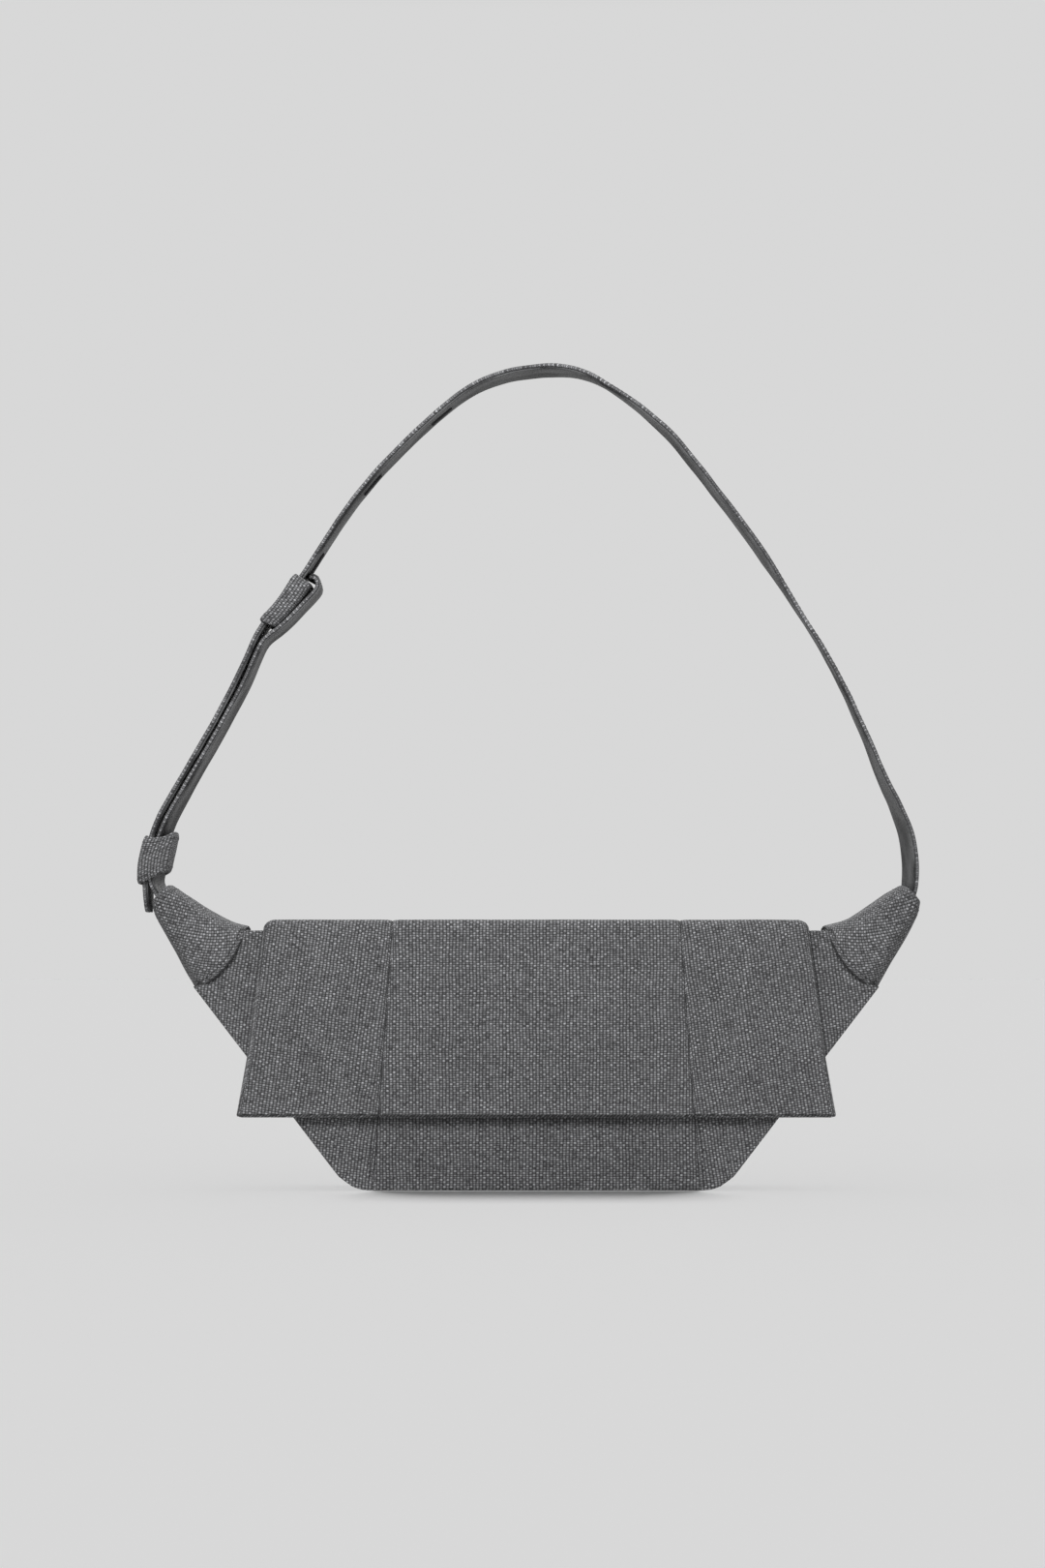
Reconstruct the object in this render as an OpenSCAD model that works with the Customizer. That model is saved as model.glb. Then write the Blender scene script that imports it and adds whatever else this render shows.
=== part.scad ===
// Crossbody bag of stiffened canvas: a boat-shaped body, a three-panel flap that folds over the mouth,
// two tapered wings and a flat strap in two layers, held together by a fixed and a sliding keeper.
// Millimetres. X runs left to right, the front faces -Y, Z is up and the bag stands on Z = 0.

/* [Body] */
// Depth of the body from its front face to its back face
body_depth = 60; // [56:1:64]
// Height of the mouth's edge above the base
mouth_z = 152; // [150:0.5:153]
// Half the width at which the base meets the sloping sides, before rounding
base_half = 109.5; // [100:0.5:115]
// Radius of the rounded lower corners
corner_r = 25; // [10:1:35]
// Half the length of the open mouth
mouth_half = 150; // [130:1:155]

/* [Fabric] */
// Thickness of the woven outer canvas
canvas_t = 1.2; // [0.8:0.1:1.4]
// Thickness of the stiffening board inside the body's panels
board_t = 1.8; // [1:0.1:2]
// Thickness of the lining cloth
lining_t = 0.6; // [0.4:0.1:0.8]

/* [Flap] */
// Half width of the flap along its top fold
flap_top_half = 158.5; // [150:0.5:160]
// Half width of the flap where its sides flare out
flap_knee_half = 168; // [160:0.5:170]
// Half width of the flap along its hem
flap_hem_half = 174.8; // [170:0.2:175]
// Height of the flap's hem above the base
flap_hem_z = 43; // [35:1:60]
// Total thickness of the flap
flap_t = 3.5; // [3:0.1:3.6]
// Thickness of the board inside the flap
flap_board_t = 1.4; // [1:0.1:1.6]

/* [Strap] */
// Width of the strap, front to back
strap_w = 36; // [30:1:36]
// Thickness of the strap's canvas face
strap_canvas_t = 2; // [1.4:0.1:2]
// Thickness of the strap's smooth inner face
strap_lining_t = 1.2; // [0.8:0.1:1.2]
// Length of a buttonhole slit along the strap
slit_len = 13; // [10:0.5:15]
// Width of a buttonhole slit
slit_w = 1.8; // [1:0.1:2.4]

/* [Closure] */
// Diameter of the hidden magnets
magnet_d = 14; // [10:1:18]
// Distance of each magnet from the middle
magnet_x = 60; // [40:1:80]
// Height of the magnets above the base
magnet_z = 62; // [55:1:80]

/* [Hidden] */
$fn = 48;

canvas_grey = [0.36, 0.36, 0.37];
canvas_pale = [0.42, 0.42, 0.43];
lining_grey = [0.17, 0.17, 0.18];
board_black = [0.1, 0.1, 0.1];
metal_grey = [0.5, 0.5, 0.52];
eps = 0.01;

// Half size of the masks that cut one region out of an outline
far = 300;
// How far a cut runs past the surface it opens
cut_over = 1;

// Depth positions of the body's layers, counted from the middle of the bag
half_d = body_depth / 2;
panel_in = half_d - canvas_t;
board_in = panel_in - board_t;
lining_in = board_in - lining_t;

// Right half of the body's outline: where the side meets the wing, then the seam up to the mouth
wing_seam_low = [200.5, 119];
wing_seam_high = [171.5, mouth_z];
wing_seam = [wing_seam_low, [192, 121.5], [180.5, 136], wing_seam_high];
side_slope = atan2(wing_seam_low[1], wing_seam_low[0] - base_half);
corner_cut = corner_r * tan(side_slope / 2);
corner_steps = 8;
corner_arc = [
    for (i = [0:corner_steps])
        let (a = -90 + side_slope * i / corner_steps)
        [base_half - corner_cut + corner_r * cos(a), corner_r + corner_r * sin(a)]
];
// Front seams between the middle and the side panels: half widths at the base and at the mouth
seam_base_half = 95.5;
seam_mouth_half = 84.5;

// Wing mouth, its two rim ends, and the widest point of its lower edge
rim_high = [216.5, 178];
rim_low = [226.5, 168];
wing_belly = [218, 147.5];
wing_top = [171.5, 156];
rim_half_d = 21.5;
belly_half_d = 24;
wing_wall = 1.4;
// Corners of the wing's hollow, each with the wing's half depth there
wing_hollow = [
    [171, 133, half_d], [171, 154, half_d], [199, 119.5, half_d], [216.4, 148.4, belly_half_d],
    [225.9, 170, rim_half_d], [218.5, 177.4, rim_half_d]
];

// Flap: the fold's centre line runs at (-fold_y, fold_z), and the hinge at the back at (hinge_y, fold_z)
flap_top_z = 157.8;
fold_r = flap_t / 2;
fold_z = flap_top_z - fold_r;
fold_gap = 0.2;
flap_clear = 0.5;
fold_y = half_d + flap_clear + fold_r;
hinge_roll_gap = 0.55;
hinge_y = half_d + canvas_t + hinge_roll_gap;
knee_z = 81;
flap_lining_t = flap_t - canvas_t - flap_board_t;
// Border of turned cloth round the flap's boards
board_margin = 5;
seam_flap_top_half = 84;
seam_flap_hem_half = 92;
flap_top_low_z = flap_top_z - flap_t;
flap_front_top_z = fold_z - fold_r - fold_gap;

// Strap: the swing axis along X, and the bend round which the sliding keeper travels
swing_z = 180;
root_r = strap_w / 2;
bend_x = -136;
bend_long_r = 94;
bend_short_r = 88.8;
bend_steps = 6;
bend_end = 28;
strap_t = strap_canvas_t + strap_lining_t;

function arc_up(r, a0, a1) = [
    for (i = [0:bend_steps])
        let (a = a0 + (a1 - a0) * i / bend_steps)
        [bend_x - r * cos(a), swing_z + r * sin(a)]
];
// Middle line of the long strap, from its free tail at the left up over the crown and down to the right wing
long_crown = [
    [-204, 250], [-190.5, 273], [-176.3, 300], [-163.2, 328], [-150.6, 344.8], [-136.2, 363], [-122, 385],
    [-102, 413], [-75, 442], [-43, 469.5], [-18, 480.5], [9, 484], [28, 481], [46, 470], [63, 458.5],
    [82, 442], [104, 414], [129, 379.5], [150, 345.5], [171, 311], [189, 277], [205, 243], [213, 226],
    [219, 210], [221.5, 195], [221.5, 180], [219.5, 170], [217, 162]
];
long_path = concat([[-229.3, 163]], arc_up(bend_long_r, 0, bend_end), smooth(long_crown, 3));
// Middle line of the short strap, from inside the left wing up to its end beside the fixed keeper
short_root = [[-217, 162], [-219.5, 170]];
short_crown = [
    [-199.4, 248.6], [-186, 271.6], [-172.8, 296], [-164.5, 312], [-158.8, 322.5], [-152.4, 330],
    [-145.5, 336.2], [-138, 342.4], [-131.5, 349], [-127.3, 356]
];
short_path = concat(short_root, arc_up(bend_short_r, 0, bend_end), smooth(short_crown, 3));
anchor_path = [[-216.6, 160.6], [-212, 150], [-205.5, 136]];
anchor_half_d = 15;

// Buttonhole slits: middle points on the long strap and the strap's direction there
slits = [[-56.9, 458.5, 41], [-98.1, 418.4, 49], [-131.4, 370.1, 57.5], [-150.2, 345.3, 52.5]];
slit_depth = 8;

// Keeper outlines seen from the front, wall thickness and inner half depth
keeper_wall = 1.6;
keeper_play = 0.6;
keeper_half_d = root_r + keeper_play;
upper_keeper_outer = [[-163.5, 335], [-142, 362], [-132.5, 356.5], [-154.9, 331.4]];
lower_keeper_outer = [[-235.2, 178.6], [-231.2, 208.5], [-210.5, 210], [-217.4, 186.6]];
stud_post_d = 1.6;
stud_post_low = -4;
stud_cap_d = 9;
stud_cap_t = 0.5;
stud_at = slits[3];

function unit(v) = v / norm(v);
function perp(v) = [-v[1], v[0]];
function edge_normal(p, i) = perp(unit(p[i + 1] - p[i]));
// Point i of path p, moved d to the path's left with mitred corners
function miter_at(p, i, d) =
    let (
        n = len(p),
        before = edge_normal(p, max(i - 1, 0)),
        after = edge_normal(p, min(i, n - 2))
    )
    p[i] + d * (before + after) / (1 + before * after);
function shifted(p, d) = [for (i = [0:len(p) - 1]) miter_at(p, i, d)];
function reversed(p) = [for (i = [len(p) - 1:-1:0]) p[i]];
function mirrored(p) = [for (q = p) [-q[0], q[1]]];
// Catmull-Rom curve through the points of p, with n steps between neighbours
function curve_at(a, b, c, d, t) =
    0.5 * (2 * b + (c - a) * t + (2 * a - 5 * b + 4 * c - d) * t * t + (3 * b - a - 3 * c + d) * t * t * t);
function smooth(p, n) = concat(
    [
        for (i = [0:len(p) - 2])
            for (k = [0:n - 1])
                curve_at(p[max(i - 1, 0)], p[i], p[i + 1], p[min(i + 2, len(p) - 1)], k / n)
    ],
    [p[len(p) - 1]]
);
function band(p, d0, d1) = concat(shifted(p, d0), reversed(shifted(p, d1)));
function seam_x(z) = seam_base_half + (seam_mouth_half - seam_base_half) * z / mouth_z;
function flap_seam_x(z) =
    seam_flap_top_half + (seam_flap_hem_half - seam_flap_top_half) * (fold_z - z) / (fold_z - flap_hem_z);

// Right side of the body's outline from the base to the wing's seam, inset by d
function body_side(d) =
    let (inner = shifted(concat([[0, 0]], corner_arc, [wing_seam_low]), d))
    [for (i = [1:len(inner) - 1]) inner[i]];

// Extrudes an X-Z outline from depth y0 to depth y1
module slab(y0, y1) {
    translate([0, y1, 0])
        rotate([90, 0, 0])
            linear_extrude(y1 - y0)
                children();
}

// Whole body outline: base, rounded corners, sloping sides, wing seams and mouth
module body_outline(inset) {
    right = concat(
        body_side(inset),
        [for (i = [1:len(wing_seam) - 2]) wing_seam[i] - [inset, 0]],
        [wing_seam_high - [inset, 0]]
    );
    polygon(concat(right, reversed(mirrored(right))));
}

// Strip between the two front seams, as tall as the body
module center_strip() {
    polygon([
        [-seam_base_half, 0], [seam_base_half, 0],
        [seam_mouth_half, mouth_z], [-seam_mouth_half, mouth_z]
    ]);
}

module right_side_mask() {
    polygon([[seam_base_half, 0], [far, 0], [far, mouth_z], [seam_mouth_half, mouth_z]]);
}

module side_panel() {
    intersection() {
        body_outline(0);
        right_side_mask();
    }
}

module front_panel_center() {
    color(canvas_grey)
        slab(-half_d, -panel_in)
            center_strip();
}

module front_panel_right() {
    color(canvas_grey)
        slab(-half_d, -panel_in)
            side_panel();
}

module front_panel_left() {
    color(canvas_grey)
        slab(-half_d, -panel_in)
            mirror([1, 0])
                side_panel();
}

module back_panel() {
    color(canvas_grey)
        slab(panel_in, half_d)
            body_outline(0);
}

module bottom_gusset() {
    color(canvas_grey)
        translate([-corner_arc[0][0], -panel_in, 0])
            cube([2 * corner_arc[0][0], 2 * panel_in, canvas_t]);
}

module side_gusset_right() {
    up = unit(wing_seam_low - corner_arc[corner_steps]);
    edge = concat(corner_arc, [wing_seam_low - up * canvas_t]);
    color(canvas_grey)
        slab(-panel_in, panel_in)
            polygon(band(edge, 0, canvas_t));
}

module side_gusset_left() {
    mirror([1, 0, 0])
        side_gusset_right();
}

module top_gusset_right() {
    color(canvas_grey)
        translate([mouth_half, -panel_in, mouth_z - canvas_t])
            cube([wing_seam_high[0] - mouth_half, 2 * panel_in, canvas_t]);
}

module top_gusset_left() {
    mirror([1, 0, 0])
        top_gusset_right();
}

// A thin upright bar at an outline point: hulled together, the bars make a wing
module depth_bar(p, half) {
    translate([p[0] - eps, -half, p[1] - eps])
        cube([2 * eps, 2 * half, 2 * eps]);
}

module wing_right() {
    color(canvas_grey)
        difference() {
            hull() {
                for (p = wing_seam)
                    depth_bar([p[0] + 2 * eps, p[1]], half_d - 2 * eps);
                depth_bar(wing_top, half_d - 2 * eps);
                depth_bar(wing_belly, belly_half_d);
                depth_bar(rim_low, rim_half_d);
                depth_bar(rim_high, rim_half_d);
            }
            hull() {
                for (p = wing_hollow)
                    depth_bar([p[0], p[1]], p[2] - wing_wall);
            }
        }
}

module wing_left() {
    mirror([1, 0, 0])
        wing_right();
}

// Inner layers stop inside the gussets' cloth
layer_gap = 0.1;
layer_inset = canvas_t + layer_gap;

module inner_outline(inset) {
    intersection() {
        body_outline(inset);
        translate([-far, 0])
            square([2 * far, mouth_z - canvas_t - layer_gap]);
    }
}

module front_stiffener() {
    color(board_black)
        difference() {
            slab(-panel_in, -board_in)
                inner_outline(layer_inset);
            for (x = [-magnet_x, magnet_x])
                magnet(x, -panel_in - cut_over, board_t + 2 * cut_over);
        }
}

module back_stiffener() {
    color(board_black)
        slab(board_in, panel_in)
            inner_outline(layer_inset);
}

module base_stiffener() {
    color(board_black)
        translate([-corner_arc[0][0], -lining_in, canvas_t])
            cube([2 * corner_arc[0][0], 2 * lining_in, board_t]);
}

module lining_front() {
    color(lining_grey)
        slab(-board_in, -lining_in)
            inner_outline(layer_inset);
}

module lining_back() {
    color(lining_grey)
        slab(lining_in, board_in)
            inner_outline(layer_inset);
}

// Flat pocket of lining cloth sewn to the back lining along its sides and its foot
pocket_half = 75;
pocket_low = 45;
pocket_high = 120;
pocket_gap = 1.2;

module slip_pocket() {
    color(lining_grey)
        difference() {
            translate([-pocket_half, lining_in - pocket_gap - lining_t, pocket_low])
                cube([2 * pocket_half, pocket_gap + lining_t, pocket_high - pocket_low]);
            translate([-pocket_half + lining_t, lining_in - pocket_gap, pocket_low + lining_t])
                cube([2 * (pocket_half - lining_t), pocket_gap + cut_over, pocket_high - pocket_low]);
        }
}

// Folded tape over the raw edges of one side of the mouth
binding_drop = 8;
binding_t = 0.7;

module mouth_binding(side) {
    y_in = lining_in - binding_t;
    y_lo = side < 0 ? -half_d : y_in;
    color(canvas_pale)
        union() {
            translate([-mouth_half, y_lo, mouth_z])
                cube([2 * mouth_half, half_d - y_in, binding_t]);
            translate([-mouth_half, side < 0 ? -lining_in : y_in, mouth_z - binding_drop])
                cube([2 * mouth_half, binding_t, binding_drop + binding_t]);
        }
}

module mouth_binding_front() {
    mouth_binding(-1);
}

module mouth_binding_back() {
    mouth_binding(1);
}

module magnet(x, y, t) {
    translate([x, y, magnet_z])
        rotate([-90, 0, 0])
            cylinder(d = magnet_d, h = t);
}

module body_magnet_left() {
    color(metal_grey)
        magnet(-magnet_x, -panel_in, board_t);
}

module body_magnet_right() {
    color(metal_grey)
        magnet(magnet_x, -panel_in, board_t);
}

// Webbing sewn into the wing's lower edge, to which the strap's end is stitched
module strap_anchor_left() {
    color(lining_grey)
        slab(-anchor_half_d, anchor_half_d)
            polygon(band(anchor_path, -strap_t / 2, strap_t / 2));
}

module strap_anchor_right() {
    mirror([1, 0, 0])
        strap_anchor_left();
}

// The flap's cloth carried over onto the back panel, with the rolled edge on which the flap turns
hem_drop = 18;

module flap_back_hem() {
    color(canvas_grey)
        union() {
            translate([-flap_top_half, half_d, fold_z - fold_r - hem_drop])
                cube([2 * flap_top_half, canvas_t, hem_drop + fold_r]);
            translate([-flap_top_half, hinge_y, fold_z])
                rotate([0, 90, 0])
                    cylinder(r = fold_r, h = 2 * flap_top_half);
        }
}

// A layer of the flap's top between heights z0 and z1, from x0 to x1
module flap_top_layer(x0, x1, z0, z1) {
    y0 = -fold_y + fold_r + fold_gap;
    y1 = hinge_y - fold_r - fold_gap;
    translate([x0, y0, z0])
        cube([x1 - x0, y1 - y0, z1 - z0]);
}

module flap_top_center() {
    color(canvas_pale)
        flap_top_layer(-seam_flap_top_half, seam_flap_top_half, flap_top_z - canvas_t, flap_top_z);
}

module flap_top_right() {
    color(canvas_pale)
        flap_top_layer(seam_flap_top_half, flap_top_half, flap_top_z - canvas_t, flap_top_z);
}

module flap_top_left() {
    color(canvas_pale)
        flap_top_layer(-flap_top_half, -seam_flap_top_half, flap_top_z - canvas_t, flap_top_z);
}

module flap_top_stiffener() {
    z = flap_top_z - canvas_t;
    color(board_black)
        flap_top_layer(board_margin - flap_top_half, flap_top_half - board_margin, z - flap_board_t, z);
}

module flap_top_lining() {
    color(lining_grey)
        flap_top_layer(-flap_top_half, flap_top_half, flap_top_low_z, flap_top_low_z + flap_lining_t);
}

// The rolled front edge of the flap's cloth, round whose middle the front of the flap folds
module flap_fold_edge() {
    color(canvas_pale)
        union() {
            translate([-flap_top_half, -fold_y, fold_z])
                rotate([0, 90, 0])
                    cylinder(r = fold_r, h = 2 * flap_top_half);
            translate([-flap_top_half, -fold_y, flap_top_z - canvas_t])
                cube([2 * flap_top_half, fold_r + fold_gap, canvas_t]);
        }
}

flap_y_out = -fold_y - fold_r;
flap_y_board = flap_y_out + canvas_t;
flap_y_lining = flap_y_board + flap_board_t;
flap_y_in = flap_y_out + flap_t;

// Outline of the flap's front, narrower by side on each side and shorter by hem at its foot
module flap_front_outline(side, hem) {
    right = [
        [flap_hem_half - side, flap_hem_z + hem],
        [flap_knee_half - side, knee_z],
        [flap_top_half - side, flap_front_top_z]
    ];
    polygon(concat(right, reversed(mirrored(right))));
}

module flap_center_strip() {
    polygon([
        [-flap_seam_x(flap_hem_z), flap_hem_z], [flap_seam_x(flap_hem_z), flap_hem_z],
        [flap_seam_x(flap_front_top_z), flap_front_top_z], [-flap_seam_x(flap_front_top_z), flap_front_top_z]
    ]);
}

module flap_side() {
    polygon([
        [flap_seam_x(flap_hem_z), flap_hem_z], [flap_hem_half, flap_hem_z], [flap_knee_half, knee_z],
        [flap_top_half, flap_front_top_z], [flap_seam_x(flap_front_top_z), flap_front_top_z]
    ]);
}

module flap_front_center() {
    color(canvas_grey)
        slab(flap_y_out, flap_y_board)
            flap_center_strip();
}

module flap_front_right() {
    color(canvas_grey)
        slab(flap_y_out, flap_y_board)
            flap_side();
}

module flap_front_left() {
    color(canvas_grey)
        slab(flap_y_out, flap_y_board)
            mirror([1, 0])
                flap_side();
}

module flap_front_stiffener() {
    color(board_black)
        difference() {
            slab(flap_y_board, flap_y_lining)
                flap_front_outline(board_margin, board_margin);
            for (x = [-magnet_x, magnet_x])
                magnet(x, flap_y_board - cut_over, flap_board_t + 2 * cut_over);
        }
}

module flap_front_lining() {
    color(lining_grey)
        slab(flap_y_lining, flap_y_in)
            flap_front_outline(0, 0);
}

module flap_magnet_left() {
    color(metal_grey)
        magnet(-magnet_x, flap_y_board, flap_board_t);
}

module flap_magnet_right() {
    color(metal_grey)
        magnet(magnet_x, flap_y_board, flap_board_t);
}

// One ply of a strap: path p, between offsets d0 and d1 to its left
module ply(p, d0, d1) {
    slab(-root_r, root_r)
        polygon(band(p, d0, d1));
}

// Where the straps' ends stand in the wings' mouths
root_x = 219;

// What a strap's end loses below the swing axis, so that it can turn inside the wing's mouth
module root_corners(x) {
    reach = 10;
    spare = 5;
    difference() {
        translate([x - reach, -root_r - spare, swing_z - root_r - spare])
            cube([2 * reach, 2 * (root_r + spare), root_r + spare]);
        translate([x - reach - eps, 0, swing_z])
            rotate([0, 90, 0])
                cylinder(r = root_r, h = 2 * (reach + eps));
    }
}

module slit_cutters() {
    for (s = slits)
        translate([s[0], 0, s[1]])
            rotate([0, -s[2], 0])
                cube([slit_len, slit_w, slit_depth], center = true);
}

outer_d = strap_t / 2;
joint_d = strap_t / 2 - strap_canvas_t;

module strap_long_outer() {
    color(canvas_grey)
        difference() {
            ply(long_path, joint_d, outer_d);
            root_corners(root_x);
            slit_cutters();
        }
}

module strap_long_lining() {
    color(lining_grey)
        difference() {
            ply(long_path, -outer_d, joint_d);
            root_corners(root_x);
            slit_cutters();
        }
}

module strap_short_outer() {
    color(canvas_grey)
        difference() {
            ply(short_path, joint_d, outer_d);
            root_corners(-root_x);
        }
}

module strap_short_lining() {
    color(lining_grey)
        difference() {
            ply(short_path, -outer_d, joint_d);
            root_corners(-root_x);
        }
}

// A flat tube of cloth round both straps: an outline p seen from the front, open at its two ends
module keeper(p) {
    ends = [unit(p[1] - p[0]), unit(p[2] - p[3])];
    across = unit(p[2] - p[1]);
    foot = unit(p[3] - p[0]);
    overrun = 3;
    inner = [
        p[0] + foot * keeper_wall - ends[0] * overrun,
        p[1] + across * keeper_wall + ends[0] * overrun,
        p[2] - across * keeper_wall + ends[1] * overrun,
        p[3] - foot * keeper_wall - ends[1] * overrun
    ];
    difference() {
        slab(-keeper_half_d - keeper_wall, keeper_half_d + keeper_wall)
            polygon(p);
        slab(-keeper_half_d, keeper_half_d)
            polygon(inner);
    }
}

module upper_keeper() {
    color(canvas_grey)
        keeper(upper_keeper_outer);
}

module lower_keeper() {
    color(canvas_grey)
        keeper(lower_keeper_outer);
}

// Stud on the fixed keeper's inner wall whose head holds the long strap through one of its slits
module strap_stud() {
    head_low = strap_t / 2 + layer_gap;
    color(metal_grey)
        translate([stud_at[0], 0, stud_at[1]])
            rotate([0, -stud_at[2], 0])
                union() {
                    translate([0, 0, head_low])
                        cylinder(d = stud_cap_d, h = stud_cap_t);
                    translate([0, 0, stud_post_low])
                        cylinder(d = stud_post_d, h = head_low - stud_post_low + eps);
                }
}

front_panel_center();
front_panel_left();
front_panel_right();
back_panel();
bottom_gusset();
side_gusset_left();
side_gusset_right();
top_gusset_left();
top_gusset_right();
wing_left();
wing_right();
front_stiffener();
back_stiffener();
base_stiffener();
lining_front();
lining_back();
slip_pocket();
mouth_binding_front();
mouth_binding_back();
body_magnet_left();
body_magnet_right();
strap_anchor_left();
strap_anchor_right();
flap_back_hem();
flap_top_center();
flap_top_left();
flap_top_right();
flap_top_stiffener();
flap_top_lining();
flap_fold_edge();
flap_front_center();
flap_front_left();
flap_front_right();
flap_front_stiffener();
flap_front_lining();
flap_magnet_left();
flap_magnet_right();
strap_long_outer();
strap_long_lining();
strap_short_outer();
strap_short_lining();
upper_keeper();
strap_stud();
lower_keeper();
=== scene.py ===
"""Looks of the crossbody bag: cloth, straps, seams and lining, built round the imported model, in metres."""
import math

import bpy
import numpy as np
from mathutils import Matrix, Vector, noise


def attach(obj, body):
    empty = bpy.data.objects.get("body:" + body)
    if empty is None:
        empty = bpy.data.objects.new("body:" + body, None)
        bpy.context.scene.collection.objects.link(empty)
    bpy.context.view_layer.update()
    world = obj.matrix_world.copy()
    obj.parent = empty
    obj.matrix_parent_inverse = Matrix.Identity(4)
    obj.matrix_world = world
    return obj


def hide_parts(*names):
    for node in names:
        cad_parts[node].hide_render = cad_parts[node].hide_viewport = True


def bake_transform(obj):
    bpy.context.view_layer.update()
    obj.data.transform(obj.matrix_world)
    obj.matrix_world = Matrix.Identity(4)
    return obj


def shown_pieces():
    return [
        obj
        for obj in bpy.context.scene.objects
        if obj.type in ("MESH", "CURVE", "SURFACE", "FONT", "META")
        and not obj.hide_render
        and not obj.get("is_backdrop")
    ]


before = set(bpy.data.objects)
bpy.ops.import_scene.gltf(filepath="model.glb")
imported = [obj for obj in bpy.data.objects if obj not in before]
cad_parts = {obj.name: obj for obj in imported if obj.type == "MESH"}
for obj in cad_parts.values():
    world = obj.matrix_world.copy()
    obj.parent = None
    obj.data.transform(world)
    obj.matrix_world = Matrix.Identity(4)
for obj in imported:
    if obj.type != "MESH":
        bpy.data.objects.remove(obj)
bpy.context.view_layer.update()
MM = 0.001
INSIDE = np.array([0, 0, 0.12])  # a point inside the bag, which faces and lights refer to


# ---------- materials ----------
class Graph:
    """Short names for building a node tree."""

    def __init__(self, name):
        self.mat = bpy.data.materials.new(name)
        self.mat.use_nodes = True
        self.tree = self.mat.node_tree
        self.shader = self.tree.nodes["Principled BSDF"]

    def put(self, socket, value):
        if isinstance(value, bpy.types.NodeSocket):
            self.tree.links.new(value, socket)
        else:
            socket.default_value = value

    def node(self, kind, out=0, props=None, **inputs):
        n = self.tree.nodes.new("ShaderNode" + kind)
        for key, value in (props or {}).items():
            setattr(n, key, value)
        for key, value in inputs.items():
            self.put(n.inputs[int(key[1:]) if key[1:].isdigit() else key.replace("_", " ")], value)
        return n.outputs[out]

    def math(self, op, a, b=0.0, c=0.0):
        return self.node("Math", props={"operation": op}, i0=a, i1=b, i2=c)

    def mix(self, t, a, b):
        """a where t is 0, b where t is 1."""
        return self.math("MULTIPLY_ADD", t, self.math("SUBTRACT", b, a), a)

    def xy(self, x, y):
        return self.node("CombineXYZ", i0=x, i1=y)

    def noise(self, vector, scale, detail=2.0, rough=0.5):
        return self.node("TexNoise", props={"noise_dimensions": "2D"}, Vector=vector, Scale=scale,
                         Detail=detail, Roughness=rough)

    def ramp(self, t, stops):
        n = self.tree.nodes.new("ShaderNodeValToRGB")
        elements = n.color_ramp.elements
        while len(elements) < len(stops):
            elements.new(0.5)
        for e, (at, colour) in zip(elements, stops):
            e.position = at
            e.color = (*colour, 1)
        self.put(n.inputs[0], t)
        return n.outputs[0]

    def uv(self):
        uv_map = self.node("UVMap", props={"uv_map": "cloth"})
        split = self.tree.nodes.new("ShaderNodeSeparateXYZ")
        self.put(split.inputs[0], uv_map)
        return uv_map, split.outputs[0], split.outputs[1]

    def bump(self, height, depth):
        normal = self.node("Bump", Strength=1.0, Distance=depth, Height=height)
        self.put(self.shader.inputs["Normal"], normal)

    def finish(self, roughness, **uniform):
        self.put(self.shader.inputs["Roughness"], roughness)
        for key, value in uniform.items():
            self.put(self.shader.inputs[key.replace("_", " ")], value)
        return self.mat


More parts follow.
